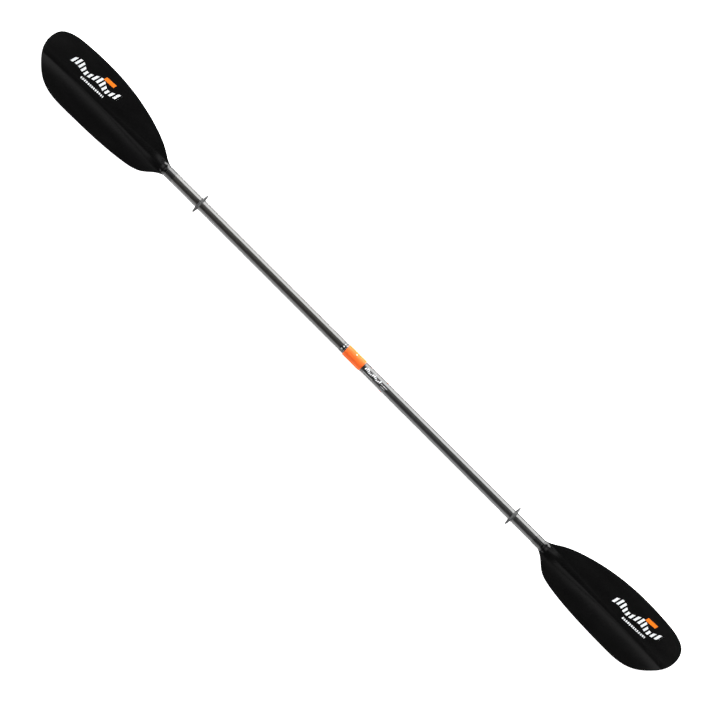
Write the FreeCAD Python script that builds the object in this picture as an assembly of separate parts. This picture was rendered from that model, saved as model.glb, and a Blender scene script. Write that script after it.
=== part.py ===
import FreeCAD, Part
import math
import os

# Two-piece touring kayak paddle, millimetres.
# +X runs along the shaft from the left blade to the right blade, +Y to the long edge of the
# blades, and +Z out of their back faces, which lie upward. The origin is the centre of the
# ferrule collar, on the shaft's axis.

V = FreeCAD.Vector
AXIS = V(1, 0, 0)
ORIGIN = V(0, 0, 0)

# Shaft
overall_length = 2300.0
shaft_radius = 14.75
shaft_wall = 1.25

# Fits between pieces
running_gap = 0.08          # guided by the shaft or a bore
turning_gap = 0.05          # plug in its bores, bolt in its seat
button_gap = 0.08           # button in the tube's hole

# Blades
blade_length = 466.0
blade_upper_reach = 90.3
blade_lower_reach = 75.8
blade_tip_drop = 27.0
blade_root_level = 3.0
blade_edge_thickness = 1.9
blade_crease_thickness = 3.4
lower_flank_angle = 11.0
lower_flank_width = 35.0
upper_flank_angle = 3.5
upper_flank_width = 45.0
crease_root_offset = 2.0
crease_tip_offset = 11.0
blade_tenon_length = 50.0
ridge_length = 210.0

# Bands on the shaft
sleeve_length = 24.0
sleeve_thickness = 0.3
sleeve_setback = 1.0
scale_band_length = 15.0
scale_band_thickness = 0.12
scale_band_gap = 0.5

# Drip rings
drip_ring_fin = 14.25
drip_ring_hub_width = 9.0
drip_ring_hub_wall = 1.5
drip_ring_lip_width = 3.2
left_ring_distance = 120.0      # from the end of the shaft to the ring's middle
right_ring_distance = 104.5

# Ferrule collar and plug
collar_length = 61.0
collar_wall = 1.67
collar_rounding = 1.2
skirt_length = 21.5
hub_setback = 0.3
hub_wall = 4.5
groove_count = 16
groove_width = 2.2
groove_depth = 0.35
grooved_length = 38.0
groove_margin = 3.5
plug_wall = 3.9
plug_end_wall = 3.0
plug_chamfer = 1.5
pin_radius = 2.2
pin_setback = 6.5
pin_depth = 3.5
pin_proud = 0.05
pin_angle = 37.0

# Index teeth, insert and its spring
tooth_count = 24
tooth_side_gap = 0.13
tooth_height = 2.3
tooth_foot = 0.75
tooth_margin = 0.5
tooth_floor_gap = 0.2
insert_flange = 3.0
tail_sleeve_wall = 4.45
tail_length = 35.0
tail_end_gap = 2.0
web_thickness = 3.0
web_hole_gap = 1.0
chamber_wall = 4.0
index_travel = 6.0
spring_length = 15.0
spring_side_gap = 1.2
spring_end_gap = 0.1
spring_wire_radius = 0.9
spring_turns = 4.5
seat_thickness = 4.0
key_width = 3.0
key_height = 1.2
bolt_radius = 3.0
bolt_head_rim = 2.2
bolt_head_height = 5.0
bolt_grip = 28.0
washer_rim = 1.0
washer_thickness = 1.2
hex_across_flats = 4.0
hex_depth = 3.0

# Socket, latch and buttons
socket_flange_length = 3.0
socket_flange_gap = 0.2
socket_flange_proud = 0.25
socket_wall = 3.55
button_distance = 77.5       # from the collar's end face to the buttons' axis
button_radius = 3.25
button_proud = 1.2
button_crown = 0.5
button_flange_rim = 1.05
button_flange_depth = 1.5
button_ring_gap = 0.05
latch_chamber_gap = 0.95
latch_ring_length = 5.4
latch_ring_wall = 0.85
latch_ring_lift = 0.45
latch_lug_width = 6.0
latch_groove_depth = 1.2
latch_side_gap = 0.2
nose_past_latch = 16.0
cup_floor_gap = 4.0
cup_floor = 3.0
o_ring_setback = 14.0
o_ring_wire_radius = 0.9
o_ring_gap = 0.05
o_ring_side_gap = 0.2

# Foam plugs
bulkhead_length = 40.0
bulkhead_gap = 4.0

# Radii that follow from the tube
tube_bore = shaft_radius - shaft_wall
skirt_bore = shaft_radius + running_gap
collar_radius = skirt_bore + collar_wall
collar_hub_radius = tube_bore - hub_setback
tail_radius = tube_bore - tail_sleeve_wall - turning_gap
chamber_radius = tube_bore - chamber_wall
spring_radius = chamber_radius - spring_side_gap - spring_wire_radius
bolt_head_radius = bolt_radius + bolt_head_rim
washer_radius = bolt_head_radius + washer_rim
tooth_inner_radius = tail_radius + turning_gap + tooth_foot
tooth_outer_radius = tube_bore - tooth_margin
tooth_width = math.pi * tooth_inner_radius / tooth_count - tooth_side_gap
socket_bore = tube_bore - socket_wall
plug_radius = socket_bore - turning_gap
button_flange_radius = button_radius + button_flange_rim
button_seat_level = tube_bore - button_flange_depth

# Places along the shaft
blade_root = overall_length / 2 - blade_length
collar_end = collar_length / 2
teeth_root = -collar_end + skirt_length
insert_face = teeth_root - insert_flange
hub_face = teeth_root + tooth_height + tooth_floor_gap
tail_end = teeth_root - tail_length
web_right = tail_end - tail_end_gap
web_left = web_right - web_thickness
seat_right = web_left - spring_length
seat_left = seat_right - seat_thickness
washer_left = seat_left - washer_thickness
insert_end = washer_left - bolt_head_height - index_travel
socket_start = collar_end + socket_flange_gap
tube_start = socket_start + socket_flange_length
button_place = collar_end + button_distance
chamber_start = button_place - button_flange_radius - latch_chamber_gap
chamber_end = button_place + button_flange_radius + latch_chamber_gap
nose_end = button_place + nose_past_latch
hub_end = collar_end - hub_wall
bolt_end = tail_end + bolt_grip
o_ring_place = collar_end + o_ring_setback
pin_place = hub_face + pin_setback
cup_end = nose_end + cup_floor_gap + cup_floor


def disc(start, end, radius):
    """A round bar about the shaft's axis, from start to end."""
    return Part.makeCylinder(radius, end - start, V(start, 0, 0), AXIS)


def pipe(start, end, outer, inner):
    """A tube about the shaft's axis."""
    return disc(start, end, outer).cut(disc(start, end, inner))


def turned(profile):
    """A solid turned about the shaft's axis from (place, radius) corners."""
    corners = [V(place, radius, 0) for place, radius in profile]
    face = Part.Face(Part.makePolygon(corners + corners[:1]))
    return face.revolve(ORIGIN, AXIS, 360)


def around(shape, count):
    """Copies of a shape, evenly spaced about the shaft's axis."""
    copies = []
    for number in range(count):
        copy = shape.copy()
        copy.rotate(ORIGIN, AXIS, 360.0 * number / count)
        copies.append(copy)
    return copies


def radial_bar(place, inner, outer, radius, angle):
    """A round bar square to the shaft, its angle measured from +Z towards +Y."""
    lean = math.radians(angle)
    way = V(0, math.sin(lean), math.cos(lean))
    return Part.makeCylinder(radius, outer - inner, V(place, 0, 0) + way * inner, way)


def mirrored(shape):
    """The same piece for the left half."""
    return shape.mirror(ORIGIN, AXIS)


# Blade

# Points on the outline, as shares of the blade's length and of its reach on that side.
UPPER_OUTLINE = ((0.033, 0.225), (0.078, 0.365), (0.217, 0.676), (0.39, 0.892), (0.62, 0.997),
                 (0.806, 0.966), (0.925, 0.86), (0.975, 0.705))
TIP = (1.0, 0.343)
LOWER_OUTLINE = ((0.978, 0.1), (0.935, 0.41), (0.872, 0.73), (0.785, 0.943), (0.65, 1.0),
                 (0.43, 0.968), (0.217, 0.851), (0.1, 0.63), (0.033, 0.3))

# Share of the ridge's length; then its half width, top and bottom from the crease, in shaft radii.
RIDGE_SECTIONS = ((0.1, 1.085, 0.3, -1.03), (0.3, 1.02, -0.06, -0.75), (0.62, 0.75, -0.08, -0.4),
                  (1.0, 0.4, -0.095, -0.175))


def blade_outline():
    """The blade's plan outline, a tall prism."""
    points = [V(blade_root, shaft_radius, 0)]
    for along, across in UPPER_OUTLINE + (TIP,):
        points.append(V(blade_root + along * blade_length, across * blade_upper_reach, 0))
    for along, across in LOWER_OUTLINE:
        points.append(V(blade_root + along * blade_length, -across * blade_lower_reach, 0))
    points.append(V(blade_root, -shaft_radius, 0))
    edge = Part.BSplineCurve()
    edge.interpolate(points)
    root = Part.makeLine(points[-1], points[0])
    face = Part.Face(Part.Wire([edge.toShape(), root]))
    depth = 2 * (blade_tip_drop + shaft_radius)
    face.translate(V(0, 0, -depth))
    return face.extrude(V(0, 0, 2 * depth))


def face_level(along):
    """Height of the crease on the back face, along the blade."""
    return blade_root_level - blade_tip_drop * along ** 2


def crease_offset(along):
    """How far the crease lies below the shaft's axis in plan. It sweeps down near the tip."""
    return crease_root_offset + (crease_tip_offset - crease_root_offset) * along ** 6


def flank_arc(start, width, angle, side):
    """An arc that rises from the crease at an angle and ends level."""
    radius = width / math.sin(math.radians(angle))
    rise = radius * (1 - math.cos(math.radians(angle)))
    half = math.radians(angle / 2)
    half_width = width - radius * math.sin(half)
    half_rise = rise - radius * (1 - math.cos(half))
    middle = start + V(0, side * half_width, half_rise)
    end = start + V(0, side * width, rise)
    return Part.Arc(start, middle, end).toShape(), end


def blade_section(along):
    """One cross-section of the blade, wider than its outline."""
    place = blade_root + along * blade_length
    crease = V(place, -crease_offset(along), face_level(along))
    ridge = crease - V(0, 0, blade_crease_thickness)
    lower_y = -1.1 * blade_lower_reach
    upper_y = 1.1 * blade_upper_reach
    lower_arc, lower_end = flank_arc(crease, lower_flank_width, lower_flank_angle, -1)
    upper_arc, upper_end = flank_arc(crease, upper_flank_width, upper_flank_angle, 1)
    lower_edge = V(place, lower_y, lower_end.z)
    upper_edge = V(place, upper_y, upper_end.z)
    drop = V(0, 0, -blade_edge_thickness)
    corners = (upper_end, upper_edge, upper_edge + drop, upper_end + drop, ridge,
               lower_end + drop, lower_edge + drop, lower_edge, lower_end)
    lines = [Part.makeLine(a, b) for a, b in zip(corners, corners[1:])]
    return Part.Wire(Part.__sortEdges__([lower_arc, upper_arc] + lines))


def ridge_section(place, half_width, top, bottom):
    """An ellipse across the spine that runs out of the tenon into the blade."""
    centre = V(place, 0, (top + bottom) / 2)
    half_height = (top - bottom) / 2
    if half_width >= half_height:
        curve = Part.Ellipse(centre + V(0, half_width, 0), centre + V(0, 0, half_height), centre)
    else:
        curve = Part.Ellipse(centre + V(0, 0, half_height), centre - V(0, half_width, 0), centre)
    return Part.Wire(curve.toShape())


def blade():
    """The right blade with its tenon."""
    stations = [n / 6 for n in range(7)]
    slab = Part.makeLoft([blade_section(s) for s in stations], True, False)
    plate = slab.common(blade_outline())
    spine = []
    for along, half_width, top, bottom in RIDGE_SECTIONS:
        level = face_level(along * ridge_length / blade_length)
        place = blade_root + along * ridge_length
        spine.append(ridge_section(place, half_width * shaft_radius, level + top * shaft_radius,
                                   level + bottom * shaft_radius))
    neck = Part.Wire(Part.Circle(V(blade_root, 0, 0), AXIS, shaft_radius).toShape())
    ridge = Part.makeLoft([neck] + spine, True, False)
    tenon = disc(blade_root - blade_tenon_length, blade_root, tube_bore)
    return plate.fuse([ridge, tenon])


# Shaft and bands

def left_tube():
    return pipe(-blade_root, insert_face, shaft_radius, tube_bore)


def right_tube():
    tube = pipe(tube_start, blade_root, shaft_radius, tube_bore)
    for angle in (90, -90):
        hole = radial_bar(button_place, 0, 2 * shaft_radius, button_radius + button_gap, angle)
        tube = tube.cut(hole)
    return tube


def blade_sleeve():
    end = blade_root - sleeve_setback
    return pipe(end - sleeve_length, end, shaft_radius + sleeve_thickness, shaft_radius)


def scale_band():
    end = -collar_end - scale_band_gap
    outer = shaft_radius + scale_band_thickness
    return pipe(end - scale_band_length, end, outer, shaft_radius)


def drip_ring(middle):
    """A rubber hub with a fin that thins to a lip."""
    bore = shaft_radius + running_gap
    hub = bore + drip_ring_hub_wall
    half_hub = drip_ring_hub_width / 2
    half_lip = drip_ring_lip_width / 2
    fin_foot = half_hub * 0.6
    lip = shaft_radius + drip_ring_fin
    profile = ((middle - half_hub, bore), (middle + half_hub, bore), (middle + half_hub, hub),
               (middle + fin_foot, hub + drip_ring_hub_wall), (middle + half_lip, lip),
               (middle - half_lip, lip), (middle - fin_foot, hub + drip_ring_hub_wall),
               (middle - half_hub, hub))
    return turned(profile)


# Ferrule

def teeth(start, turn):
    """A ring of radial teeth from one place, turned by a share of their pitch."""
    length = tooth_outer_radius - tooth_inner_radius
    corner = V(start, -tooth_width / 2, tooth_inner_radius)
    tooth = Part.makeBox(tooth_height, tooth_width, length, corner)
    tooth.rotate(ORIGIN, AXIS, turn * 360 / tooth_count)
    return around(tooth, tooth_count)


def index_insert():
    """The bonded insert: teeth, the tail's bore, a web and the keyed spring chamber."""
    body = disc(insert_end, insert_face, tube_bore)
    cap = disc(insert_face, teeth_root, shaft_radius)
    body = body.fuse([cap] + teeth(teeth_root, 0))
    bores = [disc(web_right, teeth_root + tooth_height, tail_radius + turning_gap)]
    bores.append(disc(web_left, web_right, bolt_radius + web_hole_gap))
    bores.append(disc(insert_end, web_left, chamber_radius))
    bores.append(key_bar(insert_end, web_left, chamber_radius + key_height, running_gap))
    return body.cut(bores)


def key_bar(start, end, reach, gap):
    """A bar across the shaft whose ends on +Z and -Z stop the seat from turning."""
    width = key_width + 2 * gap
    return Part.makeBox(end - start, width, 2 * reach, V(start, -width / 2, -reach))


def index_spring_seat():
    round_part = disc(seat_left, seat_right, chamber_radius - running_gap)
    reach = chamber_radius + key_height - running_gap
    seat = round_part.fuse(key_bar(seat_left, seat_right, reach, 0))
    return seat.cut(disc(seat_left, seat_right, bolt_radius + turning_gap))


def index_spring():
    """An open coil between the seat and the web."""
    height = spring_length - 2 * (spring_wire_radius + spring_end_gap)
    helix = Part.makeHelix(height / spring_turns, height, spring_radius)
    section = Part.Wire(Part.Circle(V(spring_radius, 0, 0), V(0, 1, 0), spring_wire_radius).toShape())
    coil = Part.Wire(helix.Edges).makePipeShell([section], True, True)
    coil.rotate(ORIGIN, V(0, 1, 0), 90)
    coil.translate(V(seat_right + spring_wire_radius + spring_end_gap, 0, 0))
    return coil


def index_bolt():
    shank = disc(washer_left, tail_end + bolt_grip, bolt_radius)
    head_start = washer_left - bolt_head_height
    head = disc(head_start, washer_left, bolt_head_radius)
    corner = hex_across_flats / math.sqrt(3)
    corners = [V(head_start, corner * math.cos(a), corner * math.sin(a))
               for a in [math.pi / 3 * n for n in range(7)]]
    socket = Part.Face(Part.makePolygon(corners)).extrude(V(hex_depth, 0, 0))
    return shank.fuse(head).cut(socket)


def index_washer():
    return pipe(washer_left, seat_left, washer_radius, bolt_radius)


def ferrule_plug():
    """Tail, toothed hub and nose in one piece."""
    half_groove = latch_ring_length / 2 + latch_side_gap
    half_o_ring = o_ring_wire_radius + o_ring_side_gap
    groove_floor = plug_radius - latch_groove_depth
    o_ring_floor = plug_radius - o_ring_gap - 2 * o_ring_wire_radius
    outline = ((tail_end, 0), (tail_end, tail_radius), (hub_face, tail_radius),
               (hub_face, collar_hub_radius), (hub_end, collar_hub_radius), (hub_end, plug_radius),
               (o_ring_place - half_o_ring, plug_radius), (o_ring_place - half_o_ring, o_ring_floor),
               (o_ring_place + half_o_ring, o_ring_floor), (o_ring_place + half_o_ring, plug_radius),
               (button_place - half_groove, plug_radius), (button_place - half_groove, groove_floor),
               (button_place + half_groove, groove_floor), (button_place + half_groove, plug_radius),
               (nose_end - plug_chamfer, plug_radius), (nose_end, plug_radius - plug_chamfer),
               (nose_end, 0))
    body = turned(outline).fuse(teeth(hub_face - tooth_height, 0.5))
    bolt_hole = disc(tail_end, bolt_end, bolt_radius)
    hollow = disc(hub_face + plug_end_wall, nose_end - plug_end_wall, plug_radius - plug_wall)
    return body.cut([bolt_hole, hollow, collar_pin()])


def ferrule_collar():
    """The turning collar: a skirt over the left tube, a seat for the hub and shallow grip grooves."""
    outline = ((-collar_end, skirt_bore), (hub_face, skirt_bore), (hub_face, collar_hub_radius),
               (hub_end, collar_hub_radius), (hub_end, plug_radius), (collar_end, plug_radius),
               (collar_end, collar_radius), (-collar_end, collar_radius))
    body = turned(outline)
    rims = [edge for edge in body.Edges
            if isinstance(edge.Curve, Part.Circle) and abs(edge.Curve.Radius - collar_radius) < 1e-6]
    body = body.makeFillet(collar_rounding, rims)
    floor = collar_radius - groove_depth
    groove = Part.makeBox(grooved_length, groove_width, 2 * groove_depth,
                          V(groove_margin - collar_end, -groove_width / 2, floor))
    return body.cut(around(groove, groove_count) + [collar_pin()])


def collar_pin():
    """Holds the collar on the hub, and its pale end is the index dot."""
    foot = collar_hub_radius - pin_depth
    return radial_bar(pin_place, foot, collar_radius + pin_proud, pin_radius, pin_angle)


def ferrule_o_ring():
    ring_radius = plug_radius - o_ring_wire_radius - o_ring_gap
    return Part.makeTorus(ring_radius, o_ring_wire_radius, V(o_ring_place, 0, 0), AXIS)


# Socket, latch and buttons

def socket_liner():
    """A bonded liner whose flange covers the end of the right tube."""
    flange = shaft_radius + socket_flange_proud
    outline = ((socket_start, socket_bore), (chamber_start, socket_bore), (chamber_start, tube_bore),
               (tube_start, tube_bore), (tube_start, flange), (socket_start, flange))
    return turned(outline)


def socket_end_cup():
    """The blind end of the socket, past the latch."""
    return disc(chamber_end, cup_end, tube_bore).cut(disc(chamber_end, cup_end - cup_floor, socket_bore))


def oval(half_width, half_height):
    """An oval bar through the latch, wide along Y."""
    start = V(button_place - latch_ring_length / 2, 0, 0)
    curve = Part.Ellipse(start + V(0, half_width, 0), start + V(0, 0, half_height), start)
    face = Part.Face(Part.Wire(curve.toShape()))
    return face.extrude(V(latch_ring_length, 0, 0))


def latch_ring():
    """An oval spring ring. Its lugs sit in the plug's groove until the buttons squeeze it."""
    half_width = button_seat_level - button_ring_gap
    half_height = plug_radius + latch_ring_lift + latch_ring_wall
    start = button_place - latch_ring_length / 2
    end = button_place + latch_ring_length / 2
    band = oval(half_width, half_height)
    hole = oval(half_width - latch_ring_wall, half_height - latch_ring_wall)
    lug_level = plug_radius - latch_groove_depth + latch_side_gap
    middle = Part.makeBox(latch_ring_length, latch_lug_width, 2 * half_height,
                          V(start, -latch_lug_width / 2, -half_height))
    lugs = middle.common(hole).cut(disc(start, end, lug_level))
    return band.cut(hole).fuse(lugs)


def button(angle):
    """A release button: a crowned head in the tube's hole and a flange that keeps it in."""
    top = shaft_radius + button_proud
    head = radial_bar(button_place, button_seat_level, top, button_radius, angle)
    rim = [edge for edge in head.Edges
           if isinstance(edge.Curve, Part.Circle) and abs(abs(edge.Curve.Center.y) - top) < 1e-6]
    head = head.makeFillet(button_crown, rim)
    flange = radial_bar(button_place, button_seat_level, shaft_radius, button_flange_radius, angle)
    reach = disc(chamber_start, chamber_end, tube_bore - running_gap)
    return head.fuse(flange.common(reach))


# Foam plugs

def left_bulkhead():
    end = insert_end - bulkhead_gap
    return disc(end - bulkhead_length, end, tube_bore)


def right_bulkhead():
    start = cup_end + bulkhead_gap
    return disc(start, start + bulkhead_length, tube_bore)


pieces = {
    "left_shaft_tube": left_tube(),
    "right_shaft_tube": right_tube(),
    "left_blade": mirrored(blade()),
    "right_blade": blade(),
    "left_blade_sleeve": mirrored(blade_sleeve()),
    "right_blade_sleeve": blade_sleeve(),
    "left_drip_ring": drip_ring(left_ring_distance - blade_root),
    "right_drip_ring": drip_ring(blade_root - right_ring_distance),
    "left_bulkhead": left_bulkhead(),
    "right_bulkhead": right_bulkhead(),
    "feather_scale_band": scale_band(),
    "index_insert": index_insert(),
    "index_spring_seat": index_spring_seat(),
    "index_spring": index_spring(),
    "index_bolt": index_bolt(),
    "index_washer": index_washer(),
    "ferrule_plug": ferrule_plug(),
    "ferrule_collar": ferrule_collar(),
    "collar_pin": collar_pin(),
    "ferrule_o_ring": ferrule_o_ring(),
    "socket_liner": socket_liner(),
    "socket_end_cup": socket_end_cup(),
    "latch_ring": latch_ring(),
    "upper_button": button(90),
    "lower_button": button(-90),
}

os.makedirs("parts", exist_ok=True)
for name, shape in pieces.items():
    shape.exportStep("parts/" + name + ".step")
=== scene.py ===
import math

import bmesh
import bpy
import numpy as np
from bpy.props import FloatProperty, FloatVectorProperty, IntProperty, PointerProperty
from mathutils import Matrix, Vector


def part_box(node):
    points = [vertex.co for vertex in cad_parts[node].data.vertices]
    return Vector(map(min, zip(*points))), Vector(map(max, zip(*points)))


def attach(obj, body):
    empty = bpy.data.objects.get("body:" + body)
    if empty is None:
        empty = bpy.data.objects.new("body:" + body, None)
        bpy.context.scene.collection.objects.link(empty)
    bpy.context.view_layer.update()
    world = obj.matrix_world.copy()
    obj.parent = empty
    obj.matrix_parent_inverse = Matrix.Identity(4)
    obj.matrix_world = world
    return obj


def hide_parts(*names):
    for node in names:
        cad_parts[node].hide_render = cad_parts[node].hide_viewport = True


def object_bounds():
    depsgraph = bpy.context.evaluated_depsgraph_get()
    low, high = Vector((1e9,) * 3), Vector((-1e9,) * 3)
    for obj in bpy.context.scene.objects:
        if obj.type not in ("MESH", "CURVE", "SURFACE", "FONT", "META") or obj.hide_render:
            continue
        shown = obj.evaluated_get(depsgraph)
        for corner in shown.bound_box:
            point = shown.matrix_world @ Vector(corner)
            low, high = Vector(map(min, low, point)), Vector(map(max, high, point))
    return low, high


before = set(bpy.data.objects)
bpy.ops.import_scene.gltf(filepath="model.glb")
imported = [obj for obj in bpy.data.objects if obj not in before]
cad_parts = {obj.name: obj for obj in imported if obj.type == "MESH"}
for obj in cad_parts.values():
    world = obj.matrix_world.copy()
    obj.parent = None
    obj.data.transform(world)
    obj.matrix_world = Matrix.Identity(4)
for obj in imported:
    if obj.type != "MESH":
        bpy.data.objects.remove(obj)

CAD_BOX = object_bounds()

bl_info = {
    "name": "Kayak paddle",
    "version": (1, 0, 0),
    "blender": (4, 5, 0),
    "location": "View3D > Sidebar > Paddle",
    "description": "Builds a two-piece touring kayak paddle around its packed frame",
    "category": "Object",
}

# +X runs along the shaft to the right blade, +Y to the blades' long edge, +Z out of their back faces.

MM = 0.001

SHAFT_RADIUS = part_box("right_shaft_tube")[1].z
TUBE_BORE = SHAFT_RADIUS - 1.25 * MM
BLADE_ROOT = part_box("right_shaft_tube")[1].x
EDGE_SETBACK = 0.08 * MM       # keeps the smooth outline inside the CAD blade's box
BLADE_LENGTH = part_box("right_blade")[1].x - BLADE_ROOT - EDGE_SETBACK
UPPER_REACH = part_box("right_blade")[1].y - EDGE_SETBACK
LOWER_REACH = -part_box("right_blade")[0].y - EDGE_SETBACK
BUTTON_PLACE = sum(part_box("upper_button"), Vector()).x / 2

# Points on the blade's outline, as shares of its length and of its reach on that side.
UPPER_OUTLINE = ((0.0, 0.0), (0.033, 0.225), (0.078, 0.365), (0.217, 0.676), (0.39, 0.892),
                 (0.62, 0.998), (0.806, 0.966), (0.925, 0.86), (0.975, 0.705))
TIP = (1.0, 0.343)
LOWER_OUTLINE = ((0.978, 0.1), (0.935, 0.41), (0.872, 0.73), (0.785, 0.943), (0.65, 1.0),
                 (0.43, 0.968), (0.217, 0.851), (0.1, 0.63), (0.033, 0.3), (0.0, 0.0))

SPINE_LENGTH = 210 * MM

# Sections of the spine: share of its length; then half width, top and bottom in shaft radii,
# with top and bottom measured from the crease.
SPINE = ((0.1, 1.085, 0.3, -1.03), (0.3, 1.02, -0.06, -0.75), (0.62, 0.75, -0.08, -0.4),
         (1.0, 0.4, -0.095, -0.175))


# Sizes and colours a user would change

class PaddleSizes(bpy.types.PropertyGroup):
    crease_level: FloatProperty(
        name="Crease level", description="Height of the crease at the blade's root",
        default=3.0 * MM, unit="LENGTH")
    tip_drop: FloatProperty(
        name="Tip drop", description="How far the blade's spoon drops at its tip",
        default=27.0 * MM, unit="LENGTH")
    edge_thickness: FloatProperty(
        name="Edge thickness", description="Thickness of the blade at its rounded edge",
        default=1.9 * MM, unit="LENGTH")
    crease_thickness: FloatProperty(
        name="Crease thickness", description="Thickness of the blade under its crease",
        default=3.4 * MM, unit="LENGTH")
    lower_flank_angle: FloatProperty(
        name="Lower flank angle", description="Rise of the lower flank at the crease",
        default=math.radians(11.0), subtype="ANGLE")
    lower_flank_width: FloatProperty(
        name="Lower flank width", description="Width over which the lower flank levels out",
        default=35.0 * MM, unit="LENGTH")
    upper_flank_angle: FloatProperty(
        name="Upper flank angle", description="Rise of the upper flank at the crease",
        default=math.radians(3.5), subtype="ANGLE")
    upper_flank_width: FloatProperty(
        name="Upper flank width", description="Width over which the upper flank levels out",
        default=45.0 * MM, unit="LENGTH")
    crease_rounding: FloatProperty(
        name="Crease rounding", description="Radius that softens the crease",
        default=0.8 * MM, unit="LENGTH")
    round_steps: IntProperty(
        name="Round steps", description="Steps round a turned piece",
        default=144, min=48, max=288)


class PaddleColours(bpy.types.PropertyGroup):
    blade: FloatVectorProperty(
        name="Blade", description="Fibre-filled nylon of the blades",
        default=(0.0008, 0.0008, 0.00085), subtype="COLOR", min=0.0, max=1.0)
    carbon: FloatVectorProperty(
        name="Carbon", description="Fibre under the shaft's clear coat",
        default=(0.026, 0.0255, 0.025), subtype="COLOR", min=0.0, max=1.0)
    collar: FloatVectorProperty(
        name="Collar", description="Orange plastic of the collar and buttons",
        default=(0.86, 0.13, 0.018), subtype="COLOR", min=0.0, max=1.0)
    print_white: FloatVectorProperty(
        name="Print", description="White ink of the marks",
        default=(0.82, 0.84, 0.85), subtype="COLOR", min=0.0, max=1.0)
    rubber: FloatVectorProperty(
        name="Rubber", description="Grey rubber of the drip rings",
        default=(0.045, 0.046, 0.046), subtype="COLOR", min=0.0, max=1.0)


class StageValues(bpy.types.PropertyGroup):
    camera_height: FloatProperty(
        name="Camera height", description="Height of the camera above the shaft's axis",
        default=5.7, unit="LENGTH")
    camera_turn: FloatProperty(
        name="Camera turn", description="Turn of the camera about its own line of sight",
        default=math.radians(44.96), subtype="ANGLE")
    view_width: FloatProperty(
        name="View width", description="Width that the camera takes in at the shaft",
        default=1.864, unit="LENGTH")
    key_strength: FloatProperty(
        name="Key light", description="Power of the long panel on the +Y side",
        default=138.0, unit="POWER")
    low_key_strength: FloatProperty(
        name="Low key light", description="Power of the weaker panel under the key light",
        default=34.0, unit="POWER")
    fill_strength: FloatProperty(
        name="Fill light", description="Power of the broad panel on the -Y side",
        default=66.0, unit="POWER")
    flank_strength: FloatProperty(
        name="Flank light", description="Power of the high panel that lights the blades' lower flanks",
        default=8.5, unit="POWER")
    end_strength: FloatProperty(
        name="End lights", description="Power of each panel that lights a blade's neck",
        default=7.0, unit="POWER")
    overhead_strength: FloatProperty(
        name="Overhead light", description="Power of the overhead panel, which leaves no highlight",
        default=26.0, unit="POWER")


# Modelling helpers

def smooth_curve(points):
    """A natural cubic through points of any dimension: takes shares 0 to 1 of its chord length."""
    points = np.array(points, float)
    knots = np.r_[0.0, np.cumsum(np.linalg.norm(np.diff(points, axis=0), axis=1))]
    knots /= knots[-1]
    gaps = np.diff(knots)
    slopes = np.diff(points, axis=0) / gaps[:, None]
    system = np.eye(len(points))
    bends = np.zeros_like(points)
    for row in range(1, len(points) - 1):
        system[row, row - 1:row + 2] = gaps[row - 1], 2 * (gaps[row - 1] + gaps[row]), gaps[row]
        bends[row] = 6 * (slopes[row] - slopes[row - 1])
    bends = np.linalg.solve(system, bends)

    def at(shares):
        shares = np.atleast_1d(np.clip(shares, 0.0, 1.0))
        span = np.clip(np.searchsorted(knots, shares, side="right") - 1, 0, len(gaps) - 1)
        gap = gaps[span][:, None]
        before = (shares - knots[span])[:, None]
        after = gap - before
        low, high = bends[span], bends[span + 1]
        return ((low * after ** 3 + high * before ** 3) / (6 * gap)
                + (points[span] / gap - low * gap / 6) * after
                + (points[span + 1] / gap - high * gap / 6) * before)
    return at


def ease(value):
    """A smooth step from 0 to 1."""
    value = np.clip(value, 0.0, 1.0)
    return value * value * (3 - 2 * value)


def make_piece(name, shape, body, materials, replaced=()):
    """Turns a bmesh into a finished piece that rides on a body."""
    mesh = bpy.data.meshes.new(name)
    for face in shape.faces:
        face.smooth = True
    shape.to_mesh(mesh)
    shape.free()
    piece = bpy.data.objects.new(name, mesh)
    bpy.context.scene.collection.objects.link(piece)
    for material in materials:
        mesh.materials.append(material)
    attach(piece, body)
    if replaced:
        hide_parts(*replaced)
    return piece


def even_normals(piece):
    """Weights normals by face size, so that flats and long barrels shade evenly."""
    weighted = piece.modifiers.new("Even normals", "WEIGHTED_NORMAL")
    weighted.keep_sharp = True
    return piece


def turn_profile(shape, profile, steps, closed=True, start=0.0):
    """Spins (place, radius) points about the shaft's axis."""
    tilt = Matrix.Rotation(start, 4, "X")
    corners = [shape.verts.new(tilt @ Vector((place, 0, radius))) for place, radius in profile]
    pairs = list(zip(corners, corners[1:]))
    if closed:
        pairs.append((corners[-1], corners[0]))
    edges = [shape.edges.new(pair) for pair in pairs]
    bmesh.ops.spin(shape, geom=corners + edges, cent=(0, 0, 0), axis=(1, 0, 0),
                   angle=2 * math.pi, steps=steps, use_merge=True)
    bmesh.ops.remove_doubles(shape, verts=shape.verts, dist=1e-7)
    bmesh.ops.recalc_face_normals(shape, faces=shape.faces)


def soften(shape, width, segments=2, sharper_than=math.radians(32)):
    """Bevels every edge sharper than an angle."""
    edges = [edge for edge in shape.edges
             if len(edge.link_faces) == 2 and edge.calc_face_angle() > sharper_than]
    bmesh.ops.bevel(shape, geom=edges, offset=width, offset_type="OFFSET", segments=segments,
                    profile=0.5, affect="EDGES", material=-1, clamp_overlap=True)


def mirror_in_x(shape):
    bmesh.ops.scale(shape, vec=(-1, 1, 1), verts=shape.verts)
    bmesh.ops.recalc_face_normals(shape, faces=shape.faces)


# Materials

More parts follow.
